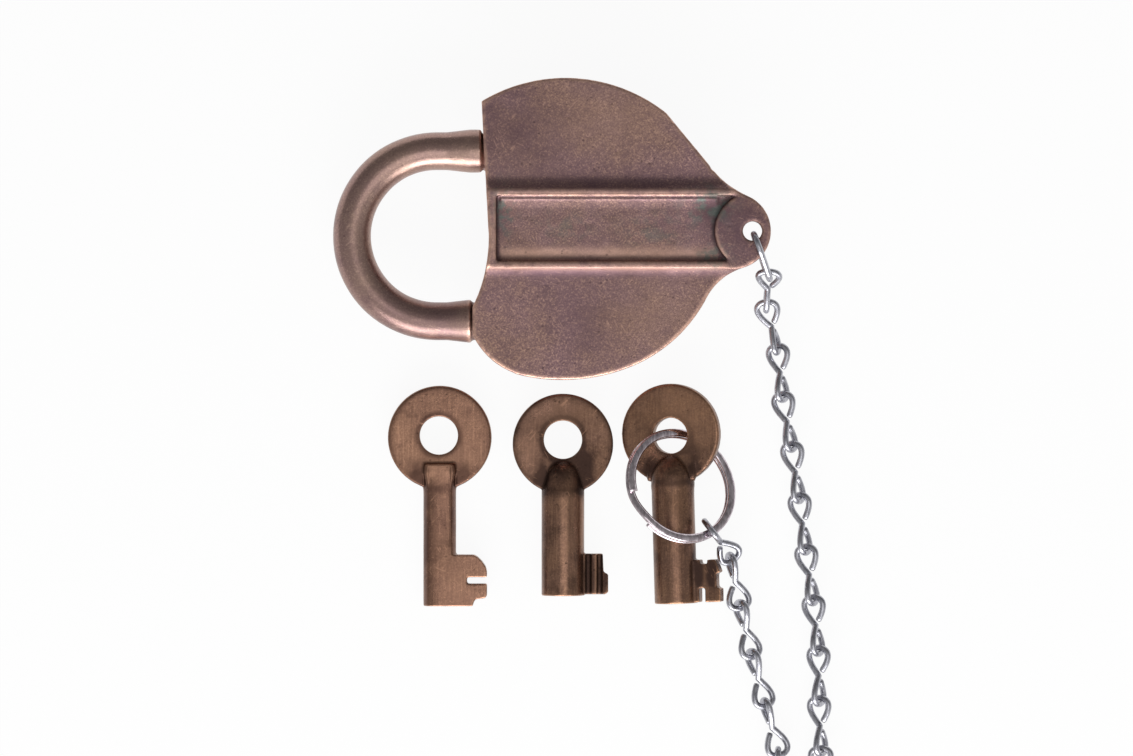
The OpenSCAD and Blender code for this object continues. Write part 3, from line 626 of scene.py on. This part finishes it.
# Materials: noise of each pattern on the brass, as scale per metre, detail and roughness
CLOUD, BLOTCH, SMALL_BLOTCH = (55, 4, 0.6), (120, 5, 0.65), (260, 4, 0.6)
SPECK, BRUSH = (2300, 3, 0.65), (2200, 3, 0.6)
PIT_PATCH, WEAR_BREAK, GREEN_BREAK = (210, 3), (500, 3), (420, 4, 0.6)
# Noise over which each pattern comes up; two more numbers are its shares at the ends
CLOUD_SPAN, BLOTCH_SPAN, SMALL_BLOTCH_SPAN = (0.35, 0.68), (0.5, 0.72), (0.5, 0.72, 0.0, 0.38)
DARK_SPECK_SPAN, BRIGHT_SPECK_SPAN = (0.3, 0.7), (0.54, 0.74)
DARK_BRUSH_SPAN, BRIGHT_BRUSH_SPAN = (0.34, 0.5, 0.26, 0.0), (0.54, 0.7, 0.0, 0.2)
PIT_PATCH_SPAN, WEAR_SPAN, GREEN_SPAN = (0.46, 0.6), (0.3, 0.62, 0.25, 0.8), (0.42, 0.62, 0.0, 0.75)
GRIME_AND_SHADE_WEAR_SPAN = (0.0, 1.0, 1.0, 0.35)
# Shares of the patterns in the colour
BLOTCH_SHARE, DARK_SPECK_SHARE, BRIGHT_SPECK_SHARE = 0.55, 0.72, 0.62
GRIME_AND_SHADE_SHARE, BRUSHED_GRIME_AND_SHADE_SHARE, WARM_SHARE, POLISH_AND_PAINTED_LIGHT_SHARE = 0.8, 0.95, 0.35, 0.6
SCRATCH_SHARE, PIT_SHARE, HOLLOW_SHARE = 0.22, 0.4, 0.7
# Factors that make the warm colour brighter and the deep colour darker
BRIGHT, BRIGHT_SPECK, PIT_TONE, HOLLOW_TONE = 1.9, 1.6, 0.5, 0.4
GREEN = (0.13, 0.17, 0.15)
# Pits: scale, radius and how far they fade; lines of the brush are drawn out along y
PIT, PIT_SIZE, PIT_FADE = 620, 0.13, 1.6
BRUSH_SQUEEZE = 0.05
# Scratches: turn in radians and scale of each direction, and the places that have them
SCRATCHES, SCRATCH_SQUEEZE, SCRATCH_SPAN = ((0.5, 2600), (1.2, 3000), (2.4, 2300)), 0.12, (0.72, 0.78)
SCRATCH_PATCH, SCRATCH_PATCH_STEP, SCRATCH_PATCH_SPAN = 140, 30, (0.5, 0.62)
# Relief: shares of the patterns, depth in metres and strength
SPECK_RELIEF, PIT_RELIEF, SCRATCH_RELIEF = 0.8, 0.5, 0.2
BRASS_RELIEF, WIRE_RELIEF = (0.00007, 0.6), (0.00002, 0.4)
# Roughness: noise over which it changes, by how much, and what wear and the grime-and-painted-shade mask
# add; share of metal
ROUGH_SPAN = (0.3, 0.7)
BRASS_SMOOTHER, BRASS_ROUGHER, WORN_ROUGH, GRIME_AND_SHADE_ROUGH = 0.06, 0.08, -0.12, 0.14
WIRE_SMOOTHER, WIRE_ROUGHER = 0.05, 0.09
BRASS_METAL, WIRE_METAL = 0.92, 1.0
# Wire: noise of the drawn lines, of dull places and of roughness, and where the first two come up
DRAWN, DULL, WIRE_CLOUD = (1500, 3, 0.6), (300, 3), (260, 3)
DRAWN_SQUEEZE, DRAWN_SPAN, DULL_SPAN, DULL_TONE = 0.25, (0.38, 0.68), (0.56, 0.72, 0.0, 0.5), 0.6


class Paint:
    """One procedural material, made node by node in the part's own coordinates."""

    def __init__(self, name):
        self.material = bpy.data.materials.new(name)
        self.material.use_nodes = True
        self.tree = self.material.node_tree
        self.shader = self.tree.nodes["Principled BSDF"]
        self.place = self.tree.nodes.new("ShaderNodeTexCoord").outputs["Object"]

    def node(self, kind, **values):
        made = self.tree.nodes.new(kind)
        for key, value in values.items():
            setattr(made, key, value)
        return made

    def feed(self, socket, value):
        if isinstance(value, bpy.types.NodeSocket):
            self.tree.links.new(value, socket)
        else:
            socket.default_value = value

    def noise(self, scale, detail=2.0, rough=0.5, place=None):
        made = self.node("ShaderNodeTexNoise")
        self.feed(made.inputs["Vector"], place or self.place)
        made.inputs["Scale"].default_value = scale
        made.inputs["Detail"].default_value = detail
        made.inputs["Roughness"].default_value = rough
        return made.outputs["Fac"]

    def stretch(self, x, y, z, turn=0.0):
        made = self.node("ShaderNodeMapping", vector_type="TEXTURE")
        self.feed(made.inputs["Vector"], self.place)
        made.inputs["Rotation"].default_value = (0.0, 0.0, turn)
        made.inputs["Scale"].default_value = (1 / x, 1 / y, 1 / z)
        return made.outputs["Vector"]

    def pits(self, scale, size):
        made = self.node("ShaderNodeTexVoronoi", feature="F1")
        self.feed(made.inputs["Vector"], self.place)
        made.inputs["Scale"].default_value = scale
        return self.span(made.outputs["Distance"], size, PIT_FADE * size, 1.0, 0.0)

    def scratches(self):
        """Short fine lines, a few in each of three directions."""
        found = 0.0
        for turn, scale in SCRATCHES:
            along = self.stretch(1, SCRATCH_SQUEEZE, 1, turn)
            fine = self.span(self.noise(scale, 0.0, 0.5, along), *SCRATCH_SPAN)
            place = self.noise(SCRATCH_PATCH + SCRATCH_PATCH_STEP * turn, 2)
            patch = self.span(place, *SCRATCH_PATCH_SPAN)
            found = self.math("MAXIMUM", self.times(fine, patch), found)
        return found

    def times(self, a, b):
        return self.math("MULTIPLY", a, b)

    def math(self, how, a, b=0.0):
        made = self.node("ShaderNodeMath", operation=how)
        self.feed(made.inputs[0], a)
        self.feed(made.inputs[1], b)
        return made.outputs[0]

    def span(self, value, low, high, out_low=0.0, out_high=1.0):
        made = self.node("ShaderNodeMapRange", interpolation_type="SMOOTHSTEP")
        self.feed(made.inputs["Value"], value)
        made.inputs["From Min"].default_value = low
        made.inputs["From Max"].default_value = high
        made.inputs["To Min"].default_value = out_low
        made.inputs["To Max"].default_value = out_high
        return made.outputs["Result"]

    def mix(self, share, a, b):
        made = self.node("ShaderNodeMix", data_type="RGBA", blend_type="MIX")
        self.feed(made.inputs[0], share)
        for socket, value in ((made.inputs[6], a), (made.inputs[7], b)):
            self.feed(socket, (*value, 1.0) if isinstance(value, tuple) else value)
        return made.outputs[2]

    def attribute(self, name):
        return self.node("ShaderNodeAttribute", attribute_name=name).outputs["Fac"]

    def bump(self, height, distance, strength):
        made = self.node("ShaderNodeBump")
        made.inputs["Strength"].default_value = strength
        made.inputs["Distance"].default_value = distance
        self.feed(made.inputs["Height"], height)
        self.feed(self.shader.inputs["Normal"], made.outputs["Normal"])

    def finish(self, colour, roughness, metallic):
        self.feed(self.shader.inputs["Base Color"], colour)
        self.feed(self.shader.inputs["Roughness"], roughness)
        self.shader.inputs["Metallic"].default_value = metallic
        return self.material


def tone(colour, factor):
    return tuple(min(1.0, factor * x) for x in colour)


def aged_brass(name, mid, deep, warm, rough, marks=False, speckle=1.0, brushed=False):
    """Clouded, specked and scratched brass, bright on worn edges and dark in hollows."""
    p = Paint(name)
    bright = tone(warm, BRIGHT)
    # Clouds, blotches and specks
    cloud = p.noise(*CLOUD)
    speck = p.noise(*SPECK)
    blotch = p.span(p.noise(*BLOTCH), *BLOTCH_SPAN)
    dark_speck = p.span(speck, *DARK_SPECK_SPAN, DARK_SPECK_SHARE * speckle, 0.0)
    bright_speck = p.span(speck, *BRIGHT_SPECK_SPAN, 0.0, BRIGHT_SPECK_SHARE * speckle)
    colour = p.mix(p.span(cloud, *CLOUD_SPAN), mid, warm)
    colour = p.mix(p.times(blotch, BLOTCH_SHARE), colour, deep)
    colour = p.mix(dark_speck, colour, deep)
    colour = p.mix(bright_speck, colour, tone(warm, BRIGHT_SPECK))
    # Brush marks of the keys
    if brushed:
        streak = p.noise(*BRUSH, p.stretch(1, BRUSH_SQUEEZE, 1))
        colour = p.mix(p.span(p.noise(*SMALL_BLOTCH), *SMALL_BLOTCH_SPAN), colour, deep)
        colour = p.mix(p.span(streak, *DARK_BRUSH_SPAN), colour, deep)
        colour = p.mix(p.span(streak, *BRIGHT_BRUSH_SPAN), colour, bright)
    # Patches of grime and painted shade, of warm colour with some painted highlight, and of polish and
    # painted light
    if marks:
        dark = p.attribute("dark")
        colour = p.mix(p.times(dark, BRUSHED_GRIME_AND_SHADE_SHARE if brushed else GRIME_AND_SHADE_SHARE), colour, deep)
        colour = p.mix(p.times(p.attribute("warm"), WARM_SHARE), colour, warm)
        colour = p.mix(p.times(p.attribute("polish_and_painted_light"), POLISH_AND_PAINTED_LIGHT_SHARE), colour, bright)
    # Scratches and small pits
    lines = p.scratches()
    colour = p.mix(p.times(lines, SCRATCH_SHARE), colour, bright)
    pits = p.times(p.pits(PIT, PIT_SIZE), p.span(p.noise(*PIT_PATCH), *PIT_PATCH_SPAN))
    colour = p.mix(p.times(pits, PIT_SHARE), colour, tone(deep, PIT_TONE))
    # Worn edges, dark hollows and green corrosion
    worn = p.times(p.attribute("wear"), p.span(p.noise(*WEAR_BREAK), *WEAR_SPAN))
    if marks:
        worn = p.times(worn, p.span(dark, *GRIME_AND_SHADE_WEAR_SPAN))
    colour = p.mix(worn, colour, bright)
    colour = p.mix(p.times(p.attribute("hollow"), HOLLOW_SHARE), colour, tone(deep, HOLLOW_TONE))
    if marks:
        broken = p.span(p.noise(*GREEN_BREAK), *GREEN_SPAN)
        colour = p.mix(p.times(p.attribute("green"), broken), colour, GREEN)
    # Relief and roughness
    relief = p.math("SUBTRACT", p.times(speck, SPECK_RELIEF * speckle), p.times(pits, PIT_RELIEF))
    p.bump(p.math("SUBTRACT", relief, p.times(lines, SCRATCH_RELIEF)), *BRASS_RELIEF)
    clouded = p.span(cloud, *ROUGH_SPAN, rough - BRASS_SMOOTHER, rough + BRASS_ROUGHER)
    roughness = p.math("ADD", clouded, p.times(worn, WORN_ROUGH))
    if marks:
        roughness = p.math("ADD", roughness, p.times(dark, GRIME_AND_SHADE_ROUGH))
    return p.finish(colour, roughness, BRASS_METAL)


def bright_wire(name, tint, dull, rough):
    """Drawn wire with fine streaks and duller patches."""
    p = Paint(name)
    streak = p.noise(*DRAWN, p.stretch(1, DRAWN_SQUEEZE, 1))
    colour = p.mix(p.span(streak, *DRAWN_SPAN), tint, dull)
    colour = p.mix(p.span(p.noise(*DULL), *DULL_SPAN), colour, tone(dull, DULL_TONE))
    p.bump(streak, *WIRE_RELIEF)
    roughness = p.span(p.noise(*WIRE_CLOUD), *ROUGH_SPAN, rough - WIRE_SMOOTHER, rough + WIRE_ROUGHER)
    return p.finish(colour, roughness, WIRE_METAL)


def dress(piece, material):
    piece.data.materials.clear()
    piece.data.materials.append(material)


case_paint = aged_brass(
    "case_aged_brass", mid=(0.335, 0.205, 0.2), deep=(0.15, 0.088, 0.105), warm=(0.41, 0.255, 0.195),
    rough=0.46, marks=True)
bar_paint = aged_brass(
    "shackle_aged_brass", mid=(0.36, 0.23, 0.205), deep=(0.18, 0.11, 0.115), warm=(0.44, 0.295, 0.23),
    rough=0.32, marks=True, speckle=0.6)
key_paints = [
    aged_brass(
        "key_1_worn_brass", mid=(0.262, 0.14, 0.096), deep=(0.1, 0.05, 0.038), warm=(0.38, 0.21, 0.135),
        rough=0.27, marks=True, speckle=0.5, brushed=True),
    aged_brass(
        "key_2_worn_brass", mid=(0.3, 0.166, 0.117), deep=(0.05, 0.027, 0.021), warm=(0.32, 0.178, 0.112),
        rough=0.27, marks=True, speckle=0.5, brushed=True),
    aged_brass(
        "key_3_worn_brass", mid=(0.325, 0.181, 0.125), deep=(0.065, 0.036, 0.029), warm=(0.34, 0.186, 0.11),
        rough=0.28, marks=True, speckle=0.6, brushed=True),
]
zinc = bright_wire("bright_zinc", tint=(0.5, 0.5, 0.54), dull=(0.34, 0.34, 0.38), rough=0.3)
nickel = bright_wire("polished_nickel", tint=(0.76, 0.68, 0.72), dull=(0.44, 0.37, 0.4), rough=0.1)
steel = bright_wire("inner_steel", tint=(0.42, 0.42, 0.43), dull=(0.3, 0.3, 0.31), rough=0.35)
lever_paint = aged_brass(
    "lever_brass", mid=(0.42, 0.29, 0.13), deep=(0.24, 0.16, 0.08), warm=(0.5, 0.36, 0.17), rough=0.35)

dress(case_front, case_paint)
dress(case_back, case_paint)
dress(drop, bar_paint)
dress(shackle, bar_paint)
for number, (piece, paint) in enumerate(zip(keys, key_paints), 1):
    dress(piece, paint)
for link in chain:
    dress(link, zinc)
dress(split_ring, nickel)
for name, node in frame["nodes"].items():
    if not node.hide_render:
        dress(node, lever_paint if name in ("lever_1", "lever_2", "lever_3") else steel)


# Floor: tone, share of its own glow, and half width and height in metres
FLOOR_TONE, FLOOR_GLOW = (0.9, 0.9, 0.9, 1), 0.93
FLOOR_HALF, FLOOR_Z = 4.0, -0.0002
# Sky: strength, and a direction along y with its tone, on the window's side and on the far side
SKY_STRENGTH = 0.7
SKY_NEAR, SKY_FAR = (-1.0, 1.0), (0.7, 0.28)


def floor_material():
    """A nearly white glow to camera, glossy and transmission rays, a pale matt floor to all others."""
    material = bpy.data.materials.new("white_floor")
    material.use_nodes = True
    tree = material.node_tree
    tree.nodes.clear()

    def math_node(how, a, b):
        made = tree.nodes.new("ShaderNodeMath")
        made.operation = how
        tree.links.new(a, made.inputs[0])
        if isinstance(b, float):
            made.inputs[1].default_value = b
        else:
            tree.links.new(b, made.inputs[1])
        return made.outputs[0]

    path = tree.nodes.new("ShaderNodeLightPath").outputs
    seen = math_node("MAXIMUM", path["Is Camera Ray"], path["Is Glossy Ray"])
    seen = math_node("MAXIMUM", seen, path["Is Transmission Ray"])
    share = math_node("MULTIPLY", seen, FLOOR_GLOW)
    diffuse = tree.nodes.new("ShaderNodeBsdfDiffuse")
    diffuse.inputs["Color"].default_value = FLOOR_TONE
    glow = tree.nodes.new("ShaderNodeEmission")
    glow.inputs["Strength"].default_value = 1.0
    mix = tree.nodes.new("ShaderNodeMixShader")
    tree.links.new(share, mix.inputs[0])
    tree.links.new(diffuse.outputs[0], mix.inputs[1])
    tree.links.new(glow.outputs[0], mix.inputs[2])
    out = tree.nodes.new("ShaderNodeOutputMaterial")
    tree.links.new(mix.outputs[0], out.inputs["Surface"])
    return material


corners = [(-1, -1), (1, -1), (1, 1), (-1, 1)]
floor_mesh = bpy.data.meshes.new("floor")
floor_mesh.from_pydata([(x * FLOOR_HALF, y * FLOOR_HALF, 0) for x, y in corners], [], [(0, 1, 2, 3)])
floor = bpy.data.objects.new("floor", floor_mesh)
floor.location.z = FLOOR_Z
floor_mesh.materials.append(floor_material())
scene.collection.objects.link(floor)

# The sky is brighter on the side of the window
world = bpy.data.worlds.new("studio")
scene.world = world
world.use_nodes = True
sky = world.node_tree
background = sky.nodes["Background"]
direction = sky.nodes.new("ShaderNodeTexCoord")
split = sky.nodes.new("ShaderNodeSeparateXYZ")
sky.links.new(direction.outputs["Generated"], split.inputs[0])
fall = sky.nodes.new("ShaderNodeMapRange")
fall.inputs["From Min"].default_value = SKY_NEAR[0]
fall.inputs["From Max"].default_value = SKY_FAR[0]
fall.inputs["To Min"].default_value = SKY_NEAR[1]
fall.inputs["To Max"].default_value = SKY_FAR[1]
sky.links.new(split.outputs["Y"], fall.inputs["Value"])
sky.links.new(fall.outputs["Result"], background.inputs["Color"])
background.inputs["Strength"].default_value = SKY_STRENGTH


def lamp(name, place, aim, width, height, power):
    """A soft rectangular lamp; places and sizes in metres, power in watts."""
    data = bpy.data.lights.new(name, "AREA")
    data.shape = "RECTANGLE"
    data.size = width
    data.size_y = height
    data.energy = power
    made = bpy.data.objects.new(name, data)
    made.location = place
    made.rotation_euler = (Vector(aim) - Vector(place)).to_track_quat("-Z", "Y").to_euler()
    scene.collection.objects.link(made)


lamp("window", place=(0.0, -0.75, 0.32), aim=(0, -0.02, 0.01), width=0.9, height=0.4, power=7.0)
lamp("top", place=(0.1, -0.3, 1.1), aim=(0, -0.03, 0), width=0.7, height=0.7, power=1.6)
